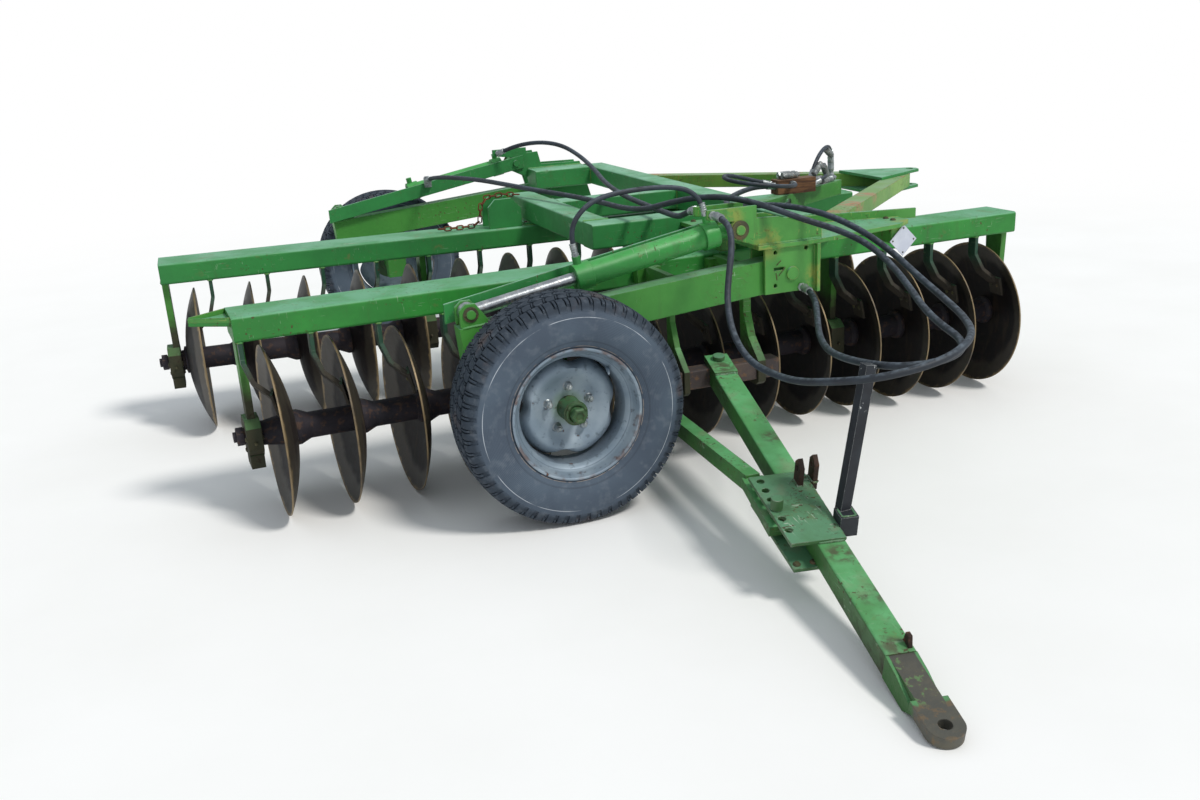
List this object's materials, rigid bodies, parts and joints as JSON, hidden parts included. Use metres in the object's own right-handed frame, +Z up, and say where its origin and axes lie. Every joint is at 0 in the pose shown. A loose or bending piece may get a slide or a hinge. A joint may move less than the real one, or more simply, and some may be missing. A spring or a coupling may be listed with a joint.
{
  "type": "trailed offset disc harrow with wheel lift",
  "caption": "Two-gang offset disc harrow with dished discs, two lifting wheels on cylinder arms, working drawbar and transport tongue.",
  "frame": {"origin": "on the ground under the centre of the part's bounding box", "axes": "+X along the frame towards the transport tongue, +Y towards the rear gang, +Z up; the working drawbar points to -Y"},
  "size_m": [3.408, 4.4678, 0.9725],
  "materials": {
    "green_paint": "worn, sun-faded",
    "disc_steel": "dark, rusty, paler at the rim",
    "spool_iron": "rusty",
    "tyre": "dusty",
    "rim_silver": "silver, rusty at the flange",
    "chrome": "dull",
    "rusty_steel": "rusty",
    "dark_paint": "flaking",
    "black_paint": "chipped",
    "white_paint": "plain",
    "zinc_steel": "zinc plated",
    "wood": "weathered",
    "hose_rubber": "dull"
  },
  "bodies": {
    "front_gang": {"front_spools": "spool_iron", "front_discs": "disc_steel"},
    "rear_gang": {"rear_spools": "spool_iron", "rear_discs": "disc_steel"},
    "front_arm": {"front_arm": "green_paint"},
    "rear_arm": {"rear_arm": "green_paint"},
    "front_wheel": {"front_wheel_tyre": "tyre", "front_wheel_rim": "rim_silver", "front_wheel_hub": "green_paint"},
    "rear_wheel": {"rear_wheel_tyre": "tyre", "rear_wheel_rim": "rim_silver", "rear_wheel_hub": "green_paint"},
    "front_barrel": {"front_cylinder_barrel": "green_paint", "hose_cylinder": "hose_rubber"},
    "rear_barrel": {"rear_cylinder_barrel": "green_paint"},
    "front_rod": {"front_cylinder_rod": "chrome"},
    "rear_rod": {"rear_cylinder_rod": "chrome"},
    "drawbar": {"drawbar_cross": "rusty_steel", "drawbar_bar": "green_paint", "drawbar_eye": "rusty_steel", "drawbar_plates": "dark_paint", "drawbar_pins": "rusty_steel", "drawbar_lugs": "rusty_steel", "drawbar_brace": "green_paint", "hose_post": "black_paint"},
    "frame": {"beam_ear": "green_paint", "chain_bracket": "green_paint", "chains": "rusty_steel", "coupler_block": "wood", "couplers": "zinc_steel", "drawbar_hangers": "green_paint", "frame_cross": "green_paint", "frame_rails": "green_paint", "front_beam": "green_paint", "front_box": "green_paint", "front_deck": "green_paint", "front_hangers": "green_paint", "front_scrapers": "green_paint", "front_tower": "green_paint", "hose_arch": "hose_rubber", "hose_coil": "hose_rubber", "hose_fittings": "zinc_steel", "hose_loop_inner": "hose_rubber", "hose_loop_outer": "hose_rubber", "hose_tail_high": "hose_rubber", "hose_tail_low": "hose_rubber", "lock_bars": "green_paint", "rear_beam": "green_paint", "rear_hangers": "green_paint", "rear_scrapers": "green_paint", "rear_tower": "green_paint", "tag": "white_paint", "tongue_legs": "green_paint", "tongue_link": "green_paint", "tongue_tip": "green_paint"}
  },
  "joints": [
    {"name": "front_gang_turn", "type": "hinge", "parent": "frame", "child": "front_gang", "pos_m": [-1.31796, -0.20236, 0.28001], "axis": [0.9992, 0.0401, 0], "continuous": true},
    {"name": "rear_gang_turn", "type": "hinge", "parent": "frame", "child": "rear_gang", "pos_m": [-1.58996, 0.90514, 0.28001], "axis": [0.9993, -0.0384, 0], "continuous": true},
    {"name": "front_arm_lift", "type": "hinge", "parent": "frame", "child": "front_arm", "pos_m": [0.31004, -0.51886, 0.65401], "axis": [0, 1, 0], "range_deg": [-3, 11]},
    {"name": "rear_arm_lift", "type": "hinge", "parent": "frame", "child": "rear_arm", "pos_m": [0.31004, 1.94514, 0.65401], "axis": [0, 1, 0], "range_deg": [-3, 11]},
    {"name": "front_wheel_roll", "type": "hinge", "parent": "front_arm", "child": "front_wheel", "pos_m": [-0.53196, -0.67986, 0.35801], "axis": [0, 1, 0], "continuous": true},
    {"name": "rear_wheel_roll", "type": "hinge", "parent": "rear_arm", "child": "rear_wheel", "pos_m": [-0.53196, 2.12114, 0.35801], "axis": [0, 1, 0], "continuous": true},
    {"name": "front_barrel_swing", "type": "hinge", "parent": "frame", "child": "front_barrel", "pos_m": [0.12004, -0.51886, 0.81501], "axis": [0, 1, 0], "range_deg": [-3.7, 13.3]},
    {"name": "rear_barrel_swing", "type": "hinge", "parent": "frame", "child": "rear_barrel", "pos_m": [0.12004, 1.94514, 0.81501], "axis": [0, 1, 0], "range_deg": [-3.7, 13.3]},
    {"name": "front_rod_slide", "type": "slide", "parent": "front_barrel", "child": "front_rod", "axis": [-0.9846, 0, -0.175], "range_m": [-0.0345, 0.0105]},
    {"name": "rear_rod_slide", "type": "slide", "parent": "rear_barrel", "child": "rear_rod", "axis": [-0.9846, 0, -0.175], "range_m": [-0.0345, 0.0105]},
    {"name": "drawbar_lift", "type": "hinge", "parent": "frame", "child": "drawbar", "pos_m": [0.05004, -0.53686, 0.33901], "axis": [-1, 0, 0], "range_deg": [0, 14]}
  ],
  "couplings": [
    {"joint": "front_barrel_swing", "follows": "front_arm_lift", "ratio": 1.1919},
    {"joint": "front_rod_slide", "follows": "front_arm_lift", "m_per_rad": -0.17625},
    {"joint": "rear_barrel_swing", "follows": "rear_arm_lift", "ratio": 1.1919},
    {"joint": "rear_rod_slide", "follows": "rear_arm_lift", "m_per_rad": -0.17625}
  ]
}
